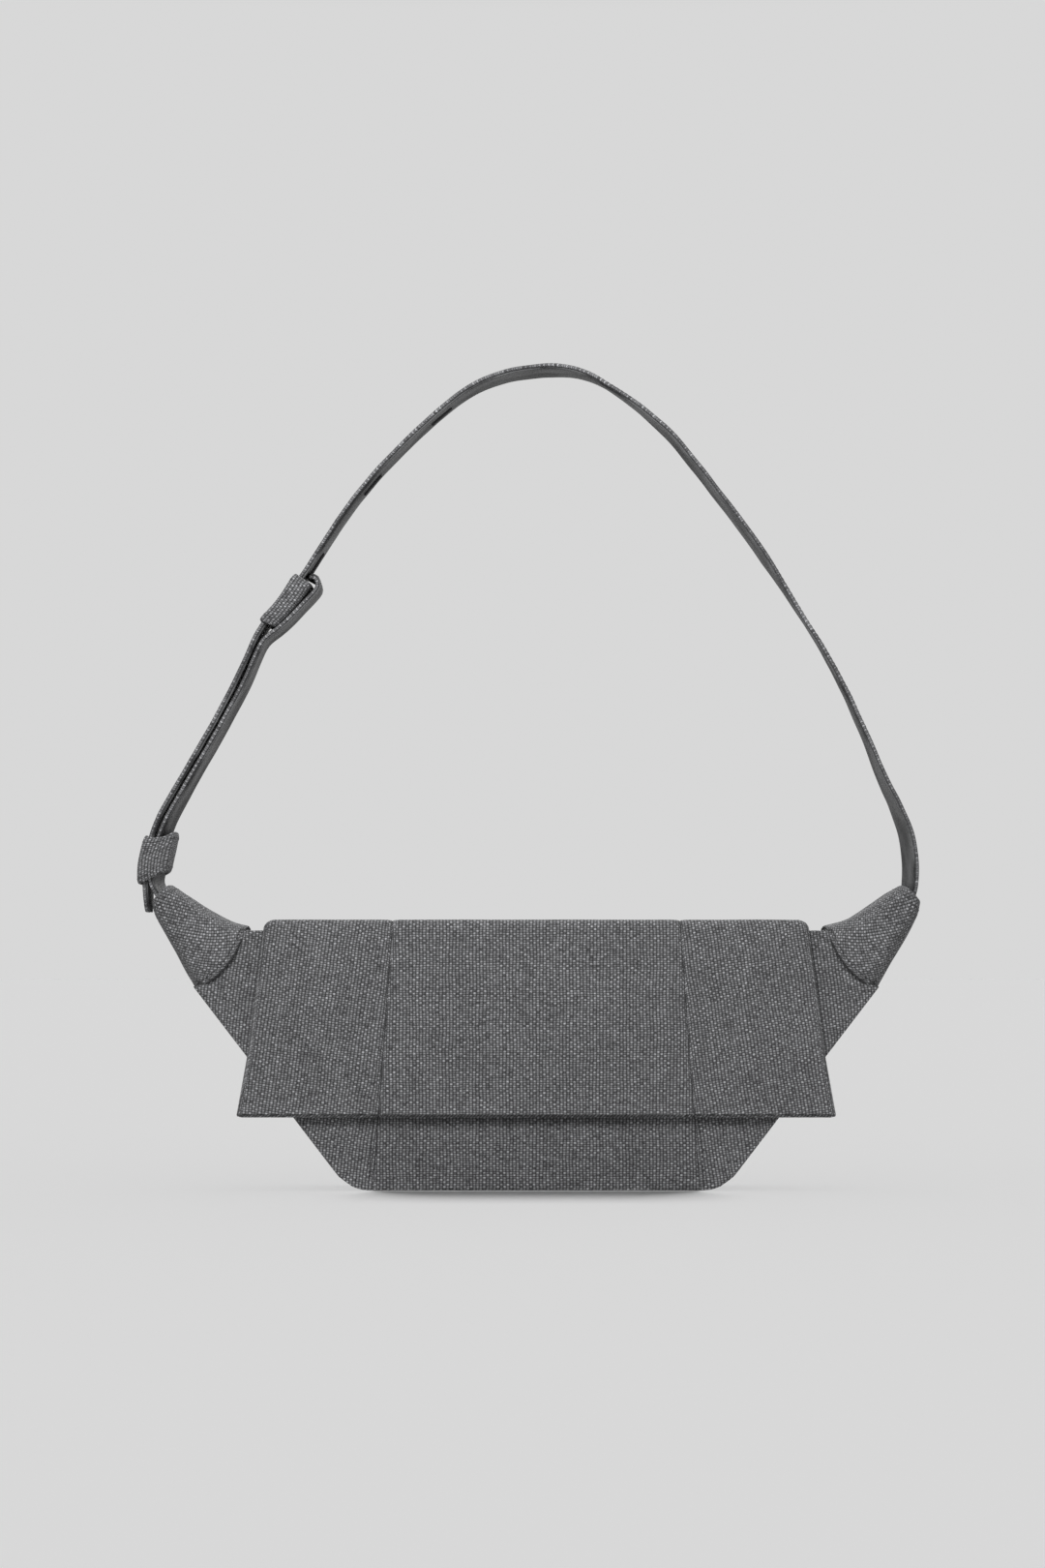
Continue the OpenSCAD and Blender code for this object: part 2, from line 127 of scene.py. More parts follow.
def weave_material(name, warp, weft, dark, middle, light, depth):
    """Plain weave of melange yarns: warp and weft are the pitches in metres."""
    g = Graph(name)
    place, u, v = g.uv()
    sway = g.math("SUBTRACT", g.noise(place, 45.0), 0.5)
    lean = g.math("SUBTRACT", g.noise(g.xy(v, u), 60.0), 0.5)
    x = g.math("MULTIPLY_ADD", sway, 0.8, g.math("DIVIDE", u, warp))
    y = g.math("MULTIPLY_ADD", lean, 0.9, g.math("DIVIDE", v, weft))
    column, row = g.math("FLOOR", x), g.math("FLOOR", y)
    over = g.math("GREATER_THAN", g.math("FLOORED_MODULO", g.math("ADD", column, row), 2.0), 0.5)
    across = g.math("COSINE", g.math("MULTIPLY", g.math("SUBTRACT", g.math("FRACT", x), 0.5), math.pi))
    along = g.math("COSINE", g.math("MULTIPLY", g.math("SUBTRACT", g.math("FRACT", y), 0.5), math.pi))
    warp_high = g.math("MULTIPLY", across, g.math("MULTIPLY_ADD", along, 0.5, 0.5))
    weft_high = g.math("MULTIPLY", along, g.math("MULTIPLY_ADD", across, 0.5, 0.12))
    high = g.mix(over, weft_high, warp_high)
    # Melange: each yarn is spun of light and dark fibres, so its tone changes along it and from yarn to yarn
    spun = g.xy(g.mix(over, g.math("MULTIPLY_ADD", row, 5.87, 61.7), g.math("MULTIPLY", column, 7.31)),
                g.mix(over, x, y))
    tone = g.noise(spun, 0.8, 3.0, 0.6)
    cell = g.node("TexWhiteNoise", props={"noise_dimensions": "2D"}, Vector=g.xy(column, row))
    cloud = g.noise(place, 30.0, 2.0, 0.5)
    mixed = g.math("MULTIPLY_ADD", g.math("SUBTRACT", cell, 0.5), 0.14, tone)
    mixed = g.math("MULTIPLY_ADD", g.math("SUBTRACT", cloud, 0.5), 0.1, mixed)
    colour = g.ramp(mixed, [(0.28, dark), (0.5, middle), (0.76, light)])
    # Painted shade and light: the colour follows the yarn's height, a tenth as bright in the gaps between
    # yarns and a third brighter on their crests
    yarn_shade = g.math("MULTIPLY_ADD", g.math("POWER", g.math("MAXIMUM", high, 0.0), 1.2), 1.25, 0.1)
    shade = g.node("Mix", 2, {"data_type": "RGBA", "blend_type": "MULTIPLY"}, i0=1.0, i6=colour,
                   i7=g.node("CombineColor", i0=yarn_shade, i1=yarn_shade, i2=yarn_shade))
    g.put(g.shader.inputs["Base Color"], shade)
    fibre = g.noise(place, 5200.0, 2.0)
    g.bump(g.math("MULTIPLY_ADD", fibre, 0.25, high), depth)
    return g.finish(g.math("MULTIPLY_ADD", fibre, 0.12, 0.84), Sheen_Weight=0.1, Sheen_Roughness=0.5,
                    Specular_IOR_Level=0.25)


def twill_material(name, dark, light, pitch):
    """Fine diagonal twill."""
    g = Graph(name)
    place, u, v = g.uv()
    slant = g.math("ADD", g.math("DIVIDE", u, pitch), g.math("DIVIDE", v, pitch * 1.4))
    wave = g.math("MULTIPLY_ADD", g.math("SINE", g.math("MULTIPLY", slant, 2 * math.pi)), 0.5, 0.5)
    cloud = g.noise(place, 90.0, 4.0, 0.6)
    tone = g.math("MULTIPLY_ADD", wave, 0.55, g.math("MULTIPLY", cloud, 0.5))
    g.put(g.shader.inputs["Base Color"], g.ramp(tone, [(0.1, dark), (0.95, light)]))
    g.bump(wave, 0.12 * MM)
    return g.finish(g.math("MULTIPLY_ADD", cloud, 0.15, 0.73), Sheen_Weight=0.15)


def leather_material(name, dark, light):
    """Smooth matte synthetic with a fine pebble, long streaks of painted highlight and soft creases."""
    g = Graph(name)
    place, u, v = g.uv()
    pebble = g.node("TexVoronoi", props={"voronoi_dimensions": "2D"}, Vector=place, Scale=1500.0)
    crease_and_highlight = g.noise(g.xy(g.math("MULTIPLY", u, 1.5), v), 26.0, 2.0, 0.5)
    rub_and_highlight = g.noise(place, 130.0, 4.0, 0.6)
    # Painted highlight: the tone is lighter along long streaks and blotches, where a glossy face would shine
    tone = g.math("MULTIPLY_ADD", rub_and_highlight, 0.25, g.math("MULTIPLY", crease_and_highlight, 0.85))
    g.put(g.shader.inputs["Base Color"], g.ramp(tone, [(0.42, dark), (0.68, light)]))
    g.bump(g.math("MULTIPLY_ADD", crease_and_highlight, 1.6, pebble), 0.1 * MM)
    return g.finish(g.math("MULTIPLY_ADD", rub_and_highlight, 0.2, 0.5), Specular_IOR_Level=0.22)


def ribbed_material(name, dark, light, pitch):
    """Tape or thread with ribs across its length."""
    g = Graph(name)
    place, u, v = g.uv()
    slant = g.math("ADD", u, g.math("MULTIPLY", v, 0.35))
    rib = g.math("SINE", g.math("MULTIPLY", slant, 2 * math.pi / pitch))
    rib = g.math("MULTIPLY_ADD", rib, 0.5, 0.5)
    cloud = g.noise(place, 700.0, 3.0)
    tone = g.math("MULTIPLY_ADD", rib, 0.6, g.math("MULTIPLY", cloud, 0.4))
    g.put(g.shader.inputs["Base Color"], g.ramp(tone, [(0.1, dark), (0.9, light)]))
    g.bump(rib, 0.12 * MM)
    return g.finish(g.math("MULTIPLY_ADD", cloud, 0.2, 0.65))


def solid_material(name, dark, light, scale, rough, stretch=1.0, **uniform):
    """Board or metal, with grain drawn from the object's own coordinates."""
    g = Graph(name)
    place = g.node("Mapping", Vector=g.node("TexCoord", 3), Scale=(scale / stretch, scale, scale))
    grain = g.node("TexNoise", Vector=place, Scale=1.0, Detail=5.0, Roughness=0.65)
    g.put(g.shader.inputs["Base Color"], g.ramp(grain, [(0.3, dark), (0.7, light)]))
    g.bump(grain, 0.05 * MM)
    return g.finish(g.math("MULTIPLY_ADD", grain, 0.25, rough), **uniform)


WARP, WEFT = 1.95 * MM, 1.35 * MM
CANVAS = weave_material("canvas", WARP, WEFT, (0.1, 0.1, 0.104), (0.215, 0.216, 0.223),
                        (0.36, 0.363, 0.376), 0.5 * MM)
LINING = twill_material("lining", (0.016, 0.016, 0.017), (0.05, 0.05, 0.053), 0.8 * MM)
INNER = leather_material("strap_inner", (0.012, 0.012, 0.013), (0.1, 0.101, 0.103))
BINDING = ribbed_material("binding", (0.02, 0.02, 0.021), (0.09, 0.09, 0.094), 0.9 * MM)
THREAD = ribbed_material("thread", (0.006, 0.006, 0.007), (0.03, 0.03, 0.032), 0.5 * MM)
BOARD = solid_material("board", (0.012, 0.012, 0.012), (0.035, 0.035, 0.034), 900.0, 0.6)
METAL = solid_material("metal", (0.3, 0.3, 0.31), (0.42, 0.42, 0.43), 2500.0, 0.25, 12.0, Metallic=1.0)


# ---------- cloth meshes ----------
def unit(a):
    return a / np.maximum(np.linalg.norm(a, axis=-1, keepdims=True), 1e-12)


def smooth_path(points, step):
    """Catmull-Rom curve through points, resampled at equal steps."""
    p = np.array(points, float)
    q = np.vstack([2 * p[0] - p[1], p, 2 * p[-1] - p[-2]])
    t = np.linspace(0, 1, 16, endpoint=False)[:, None]
    parts = []
    for a, b, c, d in zip(q, q[1:], q[2:], q[3:]):
        parts.append(0.5 * (2 * b + (c - a) * t + (2 * a - 5 * b + 4 * c - d) * t**2
                            + (3 * b - a - 3 * c + d) * t**3))
    return respaced(np.vstack([*parts, p[-1:]]), step)


def lengths(p):
    return np.concatenate([[0], np.cumsum(np.linalg.norm(np.diff(p, axis=0), axis=1))])


def respaced(p, step):
    s = lengths(p)
    want = np.linspace(0, s[-1], max(2, int(round(s[-1] / step)) + 1))
    return np.stack([np.interp(want, s, p[:, k]) for k in range(p.shape[1])], 1)


def rippled(points, normals, amount, size, seed=0.0, only_out=False):
    """The points moved along their normals by smooth noise."""
    flat = points.reshape(-1, 3)
    n = np.array([noise.noise(Vector(p) / size + Vector((seed, seed * 1.7, 0))) for p in flat])
    if only_out:
        n = 0.5 + 0.5 * n
    return points + normals * (amount * n).reshape(points.shape[:-1])[..., None]


def grid_normals(p, facing=None, ring=False):
    if ring:
        wide = np.concatenate([p[:, -1:], p, p[:, :1]], 1)
        across = np.gradient(wide, axis=1)[:, 1:-1]
    else:
        across = np.gradient(p, axis=1)
    n = unit(np.cross(np.gradient(p, axis=0), across))
    outward = (p - p.mean((0, 1))) if facing is None else np.broadcast_to(facing, p.shape)
    return n if (n * outward).sum() > 0 else -n


RIMS = {  # (out, down) of three points between the outer and the inner face
    "round": [(0.71, 0.29), (1.0, 1.0), (0.71, 1.71)],
    "seam": [(0.71, 0.29), (1.0, 1.0), (1.0, -0.4)],
    "cut": [(0.0, 0.25), (0.0, 0.5), (0.0, 0.75)],
}
SEAM_R = 0.8 * MM


def rim_points(style, p, n, out, thick):
    r = {"round": thick / 2, "seam": min(SEAM_R, thick / 3), "cut": thick}[style]
    made = []
    for side, down in RIMS[style]:
        depth = thick + down * r if down < 0 else down * r
        made.append(p + out * side * r - n * depth)
    return made


def cloth(name, points, uv, thick, edges, material, facing=None, ring=False, holes=()):
    """A closed piece of cloth from a grid of outer points [row, column] and its metric uv.

    thick is one value, or one a row. edges are the styles of the first row, last row, first column and last
    column (rows only for a ring). holes are grid cells left out, with walls round them.
    """
    p = np.array(points, float)
    rows, cols = p.shape[:2]
    n = grid_normals(p, facing, ring)
    t = np.broadcast_to(np.asarray(thick, float).reshape(-1, 1), (rows, cols)).copy()
    outs = [unit(p[0] - p[1]), unit(p[-1] - p[-2]), unit(p[:, 0] - p[:, 1]), unit(p[:, -1] - p[:, -2])]
    slots = [(0, slice(None)), (-1, slice(None)), (slice(None), 0), (slice(None), -1)]
    for style, out, where in zip(edges, outs, slots):  # rims keep the outline where it was
        if style != "cut":
            pull = t[where] / 2 if style == "round" else np.minimum(SEAM_R, t[where] / 3)
            p[where] -= out * pull[:, None]
    verts = [*p.reshape(-1, 3), *(p - n * t[..., None]).reshape(-1, 3)]
    flat_uv = np.asarray(uv, float).reshape(-1, 2)
    uvs = [*flat_uv, *flat_uv]
    size = rows * cols
    faces, sharp = [], set()
    last = cols if ring else cols - 1
    gone = set(holes)
    for r in range(rows - 1):
        for c in range(last):
            d = (c + 1) % cols
            quad = [r * cols + c, r * cols + d, (r + 1) * cols + d, (r + 1) * cols + c]
            if (r, c) not in gone:
                faces += [quad, [size + k for k in reversed(quad)]]
                continue
            for (dr, dc), (a, b) in zip([(-1, 0), (0, 1), (1, 0), (0, -1)], zip(quad, quad[1:] + quad[:1])):
                if (r + dr, c + dc) not in gone:
                    faces.append([a, b, size + b, size + a])
                    sharp |= {frozenset((a, b)), frozenset((size + a, size + b))}
    if ring:
        loops = [[(0, c, 0) for c in range(cols)], [(rows - 1, c, 1) for c in range(cols)]]
    else:
        loops = [[(0, c, 0) for c in range(cols)] + [(r, cols - 1, 3) for r in range(1, rows)]
                 + [(rows - 1, c, 1) for c in range(cols - 2, -1, -1)]
                 + [(r, 0, 2) for r in range(rows - 2, 0, -1)]]
    for loop in loops:
        rims = []
        for r, c, side in loop:
            on_edges = [r == 0, r == rows - 1, c == 0, c == cols - 1]
            touching = [side] if ring else [k for k, on in enumerate(on_edges) if on]
            rounds = [k for k in touching if edges[k] == "round"]
            seams = [k for k in touching if edges[k] == "seam"]
            use = rounds or seams or touching
            at = [outs[k][c] if k < 2 else outs[k][r] for k in use]
            out = unit(sum(at)) if np.linalg.norm(sum(at)) > 0.7 else at[-1]
            first = len(verts)
            made = rim_points(edges[use[0]], p[r, c], n[r, c], out, t[r, c])
            verts += made
            base = flat_uv[r * cols + c]
            reach = np.linalg.norm(made[1] - p[r, c])
            uvs += [base + reach * k for k in (0.5, 0.8, 0.5)]
            rims.append([r * cols + c, first, first + 1, first + 2, size + r * cols + c])
        for k, (a, b) in enumerate(zip(rims, rims[1:] + rims[:1])):
            faces += [[a[m], b[m], b[m + 1], a[m + 1]] for m in range(4)]
            (r0, c0, _), (r1, c1, _) = loop[k], loop[(k + 1) % len(loop)]
            along = [r0 == r1 == 0, r0 == r1 == rows - 1, c0 == c1 == 0, c0 == c1 == cols - 1]
            if any(on and style == "cut" for on, style in zip(along, edges)):
                sharp |= {frozenset((a[0], b[0])), frozenset((a[4], b[4]))}
    return mesh_piece(name, verts, faces, uvs, material, sharp)


def mesh_piece(name, verts, faces, uvs, material, sharp=()):
    mesh = bpy.data.meshes.new(name)
    mesh.from_pydata([tuple(v) for v in verts], [], [tuple(f) for f in faces])
    mesh.materials.append(material)
    layer = mesh.uv_layers.new(name="cloth")
    where = np.zeros(len(mesh.loops), int)
    mesh.loops.foreach_get("vertex_index", where)
    layer.data.foreach_set("uv", np.asarray(uvs, float)[where].astype(np.float32).ravel())
    mesh.shade_smooth()
    for e in mesh.edges:
        if frozenset(e.vertices) in sharp:
            e.use_edge_sharp = True
    mesh.update()
    obj = bpy.data.objects.new(name, mesh)
    bpy.context.scene.collection.objects.link(obj)
    bpy.context.view_layer.objects.active = obj
    bpy.ops.object.select_all(action="DESELECT")
    obj.select_set(True)
    bpy.ops.object.mode_set(mode="EDIT")
    bpy.ops.mesh.select_all(action="SELECT")
    bpy.ops.mesh.normals_make_consistent(inside=False)
    bpy.ops.object.mode_set(mode="OBJECT")
    return obj


def stitches(name, path, normals, material, pitch=2.9 * MM, long=2.3 * MM, thick=0.55 * MM):
    """A row of short threads lying along a path, each sunk by a third into the cloth."""
    p = np.asarray(path, float)
    s = lengths(p)
    verts, faces, uvs = [], [], []
    shape = [(-0.5, 0.25), (-0.3, 0.9), (0.0, 1.0), (0.3, 0.9), (0.5, 0.25)]
    for middle in np.arange(pitch / 2, s[-1] - pitch / 2, pitch):
        at = [np.interp(middle + k * long / 2, s, p[:, i]) for k in (-1, 0, 1) for i in range(3)]
        a, c, b = np.array(at[:3]), np.array(at[3:6]), np.array(at[6:])
        n = unit(np.array([np.interp(middle, s, normals[:, i]) for i in range(3)]))
        d = unit(b - a)
        side = unit(np.cross(d, n))
        first = len(verts)
        for along, fat in shape:
            for k in range(6):
                turn = k * math.pi / 3
                radial = thick / 2 * fat * (side * math.cos(turn) + n * math.sin(turn))
                verts.append(c + d * along * long + radial + n * thick * (0.25 * fat - 0.1))
                uvs.append((middle + along * long, k * thick / 2))
        for ring in range(4):
            for k in range(6):
                a0, b0 = first + ring * 6 + k, first + ring * 6 + (k + 1) % 6
                faces.append([a0, b0, b0 + 6, a0 + 6])
        faces += [list(range(first, first + 6)), list(range(first + 24, first + 30))]
    return mesh_piece(name, verts, faces, uvs, material)


def cord(name, path, ups, radius, material, closed=False):
    """A thin tube with the bumps of its winding thread, which along the seams is also a painted shadow line;
    ups point away from the cloth it lies on.
    """
    p = np.asarray(path, float)
    along = unit(np.roll(p, -1, 0) - np.roll(p, 1, 0)) if closed else unit(np.gradient(p, axis=0))
    side = unit(np.cross(along, ups))
    up = unit(np.cross(side, along))
    count, sides = len(p), 8
    s = lengths(p)
    verts, uvs = [], []
    for k in range(count):
        r = radius * (1 + 0.12 * (-1) ** k)
        for a in np.linspace(0, 2 * math.pi, sides, endpoint=False):
            verts.append(p[k] + r * (up[k] * math.cos(a) + side[k] * math.sin(a)))
            uvs.append((s[k], a * radius))
    faces = []
    for k in range(count if closed else count - 1):
        a, b = k * sides, (k + 1) % count * sides
        faces += [[a + j, a + (j + 1) % sides, b + (j + 1) % sides, b + j] for j in range(sides)]
    if not closed:
        faces += [list(range(sides)), list(range((count - 1) * sides, count * sides))]
    return mesh_piece(name, verts, faces, uvs, material)


# ---------- the bag's lines, in millimetres, as in the CAD source ----------
HALF_D, MOUTH_Z, BASE_X, CORNER_R = 30.0, 152.0, 109.5, 25.0
CANVAS_T, FLAP_T = 1.2, 3.5
SEAM_LOW, SEAM_TOP = 95.5, 84.5
WING_SEAM = [(200.5, 119), (192, 121.5), (180.5, 136), (171.5, 152)]
SLOPE = math.atan2(WING_SEAM[0][1], WING_SEAM[0][0] - BASE_X)
BASE_END = BASE_X - CORNER_R * math.tan(SLOPE / 2)
CORNER = [(BASE_END + CORNER_R * math.sin(SLOPE * k / 8), CORNER_R - CORNER_R * math.cos(SLOPE * k / 8))
          for k in range(9)]
SIDE = CORNER + WING_SEAM


def side_x(z):
    """Half width of the body's outline at height z."""
    return np.interp(z, [q[1] for q in SIDE], [q[0] for q in SIDE])


def body_seam_x(z):
    return SEAM_LOW + (SEAM_TOP - SEAM_LOW) * z / MOUTH_Z


def spun(u, v, degrees):
    """Cloth coordinates with the grain turned."""
    a = math.radians(degrees)
    return np.stack([u * math.cos(a) + v * math.sin(a), v * math.cos(a) - u * math.sin(a)], -1)


def heights(low, high, step, also):
    """Even heights, with those in also instead of their neighbours."""
    plain = np.linspace(low, high, int((high - low) / step) + 1)
    keep = [z for z in plain if all(abs(z - a) > 0.4 * step for a in also)]
    return np.array(sorted([*keep, *also]))


CALM_Z = 12.0  # below this height a panel's waves die out


def flat_panel(name, left, right, zs, y, thick, edges, material, grain=0.0, columns=24, wave=0.5, seed=0.0):
    """An upright panel between the lines left(z) and right(z), outer face at depth y, waving only inwards."""
    u = np.linspace(0, 1, columns)[None, :]
    z = np.broadcast_to(zs[:, None], (len(zs), columns))
    x = left(zs)[:, None] * (1 - u) + right(zs)[:, None] * u
    facing = (0, math.copysign(1, y), 0)
    points = np.stack([x, np.full_like(x, y), z], -1) * MM
    inwards = -np.array(facing, float) * np.clip(z / CALM_Z, 0, 1)[..., None]
    points = rippled(points, inwards, wave * MM, 45 * MM, seed, True)
    return cloth(name, points, spun(x, z, grain) * MM, thick * MM, edges, material, facing)


def on_bag(piece, slot, *nodes):
    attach(piece, "bag")
    if nodes:
        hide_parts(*nodes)
    return piece


# ---------- body ----------
# The dark cord in each seam's groove is partly the seam's thread, partly a painted shadow line
SEAM_CORD = 0.5 * MM
CORD_DEPTH, STITCH_DEPTH, STITCH_ASIDE = 0.75, 0.25, 2.9
ZS = heights(0, MOUTH_Z, 4, [0, 0.4, 1.2, 2.4, 119, 121.5, 136, 152])
SIDE_GRAIN = 8
front_center = flat_panel("front_center", lambda z: -body_seam_x(z), body_seam_x, ZS, -HALF_D, CANVAS_T,
                          ("round", "round", "seam", "seam"), CANVAS, 0, 40, 0.5, 3)
front_left = flat_panel("front_left", lambda z: -side_x(z), lambda z: -body_seam_x(z), ZS, -HALF_D, CANVAS_T,
                        ("round", "round", "round", "seam"), CANVAS, -SIDE_GRAIN, 26, 0.6, 5)
front_right = flat_panel("front_right", body_seam_x, side_x, ZS, -HALF_D, CANVAS_T,
                         ("round", "round", "seam", "round"), CANVAS, SIDE_GRAIN, 26, 0.6, 8)
back = flat_panel("back", lambda z: -side_x(z), side_x, ZS, HALF_D, CANVAS_T,
                  ("round", "round", "round", "round"), CANVAS, 0, 80, 0.8, 11)
on_bag(front_center, "canvas", "front_panel_center")
on_bag(front_left, "canvas", "front_panel_left")
on_bag(front_right, "canvas", "front_panel_right")
on_bag(back, "canvas", "back_panel")
for sign, tag in ((-1, "left"), (1, "right")):
    zs = np.linspace(1.0, MOUTH_Z - 2, 80)
    forward = np.tile([0, -1.0, 0], (len(zs), 1))
    x = sign * (body_seam_x(zs) + STITCH_ASIDE)
    path = np.stack([x, np.full_like(x, -HALF_D + STITCH_DEPTH), zs], 1) * MM
    on_bag(stitches("body_stitching_" + tag, path, forward, THREAD), "binding")
    # The seam's dark cord: partly thread, partly a painted shadow line in the groove
    x = sign * body_seam_x(zs)
    path = np.stack([x, np.full_like(x, -HALF_D + CORD_DEPTH), zs], 1) * MM
    on_bag(cord("body_seam_" + tag, path, forward, SEAM_CORD, THREAD), "binding")


def band(name, path, half, thick, edges, material, columns=13, wave=0.0, seed=0.0, grain=0.0, facing=None):
    """Cloth along a path of (x, z) points in millimetres, as deep as 2 x half in Y."""
    p = np.asarray(path, float)
    y = np.linspace(-half, half, columns)
    x, z = (np.repeat(p[:, k:k + 1], columns, 1) for k in (0, 1))
    points = np.stack([x, np.tile(y, (len(p), 1)), z], -1)
    s = np.repeat(lengths(p)[:, None], columns, 1)
    n = grid_normals(points, facing)
    points = rippled(points * MM, -n, wave * MM, 40 * MM, seed, True)
    return cloth(name, points, spun(points[..., 1] / MM, s, grain) * MM, thick * MM, edges, material, facing)


GUSSET_HALF = HALF_D - 0.6
side_path = respaced(np.array([*CORNER, (200.5, 119)]), 3.5)
base_path = np.stack([np.linspace(-BASE_END, BASE_END, 50), np.zeros(50)], 1)
rims = ("cut", "cut", "round", "round")
on_bag(band("gusset_base", base_path, GUSSET_HALF, CANVAS_T, rims, CANVAS, facing=(0, 0, -1)), "canvas",
       "bottom_gusset")
for sign, tag in ((-1, "left"), (1, "right")):
    path = side_path * (sign, 1)
    side = band("gusset_" + tag, path, GUSSET_HALF, CANVAS_T, rims, CANVAS, 13, 0.5, sign, 0, (sign, 0, -0.6))
    on_bag(side, "canvas", "side_gusset_" + tag)
    path = np.stack([sign * np.linspace(150.2, 172.5, 8), np.full(8, MOUTH_Z)], 1)
    on_bag(band("shoulder_" + tag, path, GUSSET_HALF, CANVAS_T, ("round", "cut", "round", "round"), CANVAS,
                facing=(0, 0, 1)), "canvas", "top_gusset_" + tag)
    # The shoulder's cloth turns up and closes the wing's inner end
    path = np.array([(sign * 171.0, 150.8), (sign * 171.0, 152.6), (sign * 171.4, 154.0)])
    on_bag(band("shoulder_rise_" + tag, path, GUSSET_HALF, CANVAS_T, ("cut", "cut", "round", "round"), CANVAS,
                facing=(-sign, 0, 0.2)), "canvas")

# Inside: linings, their strip along the gussets, pocket and mouth bindings
LINING_Y = HALF_D - CANVAS_T - 1.8
LINING_T, LINING_INSET, LINING_GAP = 0.6, 1.6, 0.65
INNER_ZS = heights(1.5, MOUTH_Z - 1.4, 5, [119, 121.5, 136])
for sign, tag in ((-1, "front"), (1, "back")):
    y = sign * (LINING_Y - LINING_GAP)
    panel = flat_panel("lining_cloth_" + tag, lambda z: LINING_INSET - side_x(z),
                       lambda z: side_x(z) - LINING_INSET, INNER_ZS, y, LINING_T, ("round",) * 4, LINING,
                       0, 60, 0.0)
    on_bag(panel, "lining", "lining_" + tag)
    # Folded tape over the mouth's edge: down the inside, over the top
    over = [(LINING_Y - 1.3, 143.5), (LINING_Y - 1.45, 147), (LINING_Y - 1.3, 151), (LINING_Y - 0.9, 152.5),
            (LINING_Y + 0.2, 153.0), (HALF_D - 0.7, 153.0), (HALF_D + 0.1, 152.5), (HALF_D + 0.15, 151.4)]
    profile = smooth_path([(sign * a, b) for a, b in over], 0.6)
    xs = np.linspace(-150, 150, 76)
    points = np.stack([np.tile(xs, (len(profile), 1)), np.repeat(profile[:, :1], 76, 1),
                       np.repeat(profile[:, 1:], 76, 1)], -1) * MM
    uv = np.stack([points[..., 0], np.repeat(lengths(profile)[:, None] * MM, 76, 1)], -1)
    out = np.zeros_like(points)
    out[..., 1] = points[..., 1] - sign * (LINING_Y + 1) * MM
    out[..., 2] = points[..., 2] - 148 * MM
    tape = cloth("mouth_tape_" + tag, points, uv, 0.6 * MM, ("round",) * 4, BINDING, out)
    on_bag(tape, "binding", "mouth_binding_" + tag)
strip = [(-x, z) for x, z in reversed(side_path.tolist())] + base_path.tolist()[1:-1] + side_path.tolist()
strip = np.array(strip)
across = unit(np.gradient(strip, axis=0))
strip = strip + np.stack([-across[:, 1], across[:, 0]], 1) * 1.4
strip[:, 1] = np.maximum(strip[:, 1], 3.2)
strip = strip[(strip[:, 1] < 114)]
strip = band("lining_strip", strip, LINING_Y - 0.8, LINING_T, ("round",) * 4, LINING, facing=(0, 0, -1))
on_bag(strip, "lining")

POCKET_HALF, POCKET_LOW, POCKET_HIGH = 75.0, 45.0, 120.0
u = np.linspace(-1, 1, 40)[None, :]
v = np.linspace(0, 1, 24)[:, None]
x = POCKET_HALF * u + 0 * v
z = POCKET_LOW + (POCKET_HIGH - POCKET_LOW) * v + 0 * u
lift = 0.5 + 1.3 * (1 - u**4) * np.sqrt(v) + 2.2 * (1 - u**2) * v**6
points = np.stack([x, LINING_Y - LINING_GAP - lift, z], -1) * MM
pocket = cloth("pocket", points, np.stack([x, z], -1) * MM, 0.5 * MM, ("round",) * 4, LINING, (0, -1, 0))
on_bag(pocket, "lining", "slip_pocket")
hem = np.array([points[-3, k] + (0, -0.2 * MM, 0) for k in range(1, 39)])
forward = np.tile([0, -1.0, 0], (len(hem), 1))
on_bag(stitches("pocket_stitching", hem, forward, THREAD, 2.6 * MM, 1.8 * MM), "binding")


# ---------- flap ----------
HEM_Z, KNEE_Z = 43.0, 81.0
TOP_HALF, KNEE_HALF, HEM_HALF = 158.9, 168.3, 175.1
TOP_Z, FOLD_Z = 157.8, 156.05
FLAP_CORNER = 3.6
REAR = [(31.6, 137.2), (32.3, 141), (33.0, 146), (33.6, 150.5), (33.5, 153.8), (32.6, 156.4), (30.9, 157.7),
        (28.5, 158.0), (20, 157.9), (10, 157.7), (0, 157.6)]
MAIN = [(0, 157.6), (-10, 157.7), (-22, 157.9), (-28.5, 158.0), (-31.2, 157.6), (-33.0, 156.2),
        (-34.0, 153.8), (-34.2, 150), (-34.4, 138), (-34.6, 120), (-34.7, 100), (-34.8, 80), (-35.0, 62),
        (-35.5, 50), (-36.2, HEM_Z)]
FLAP_STEP, FLAP_SEED = 2.6, 2.0


def flap_half(z):
    wide = np.interp(z, [HEM_Z, KNEE_Z, FOLD_Z], [HEM_HALF, KNEE_HALF, TOP_HALF])
    rise = np.clip((z - (TOP_Z - FLAP_CORNER)) / FLAP_CORNER, 0, 1)
    return wide - FLAP_CORNER * (1 - np.sqrt(1 - rise**2))


def flap_seam_x(z):
    return np.interp(z, [HEM_Z, FOLD_Z], [92.0, 84.0])


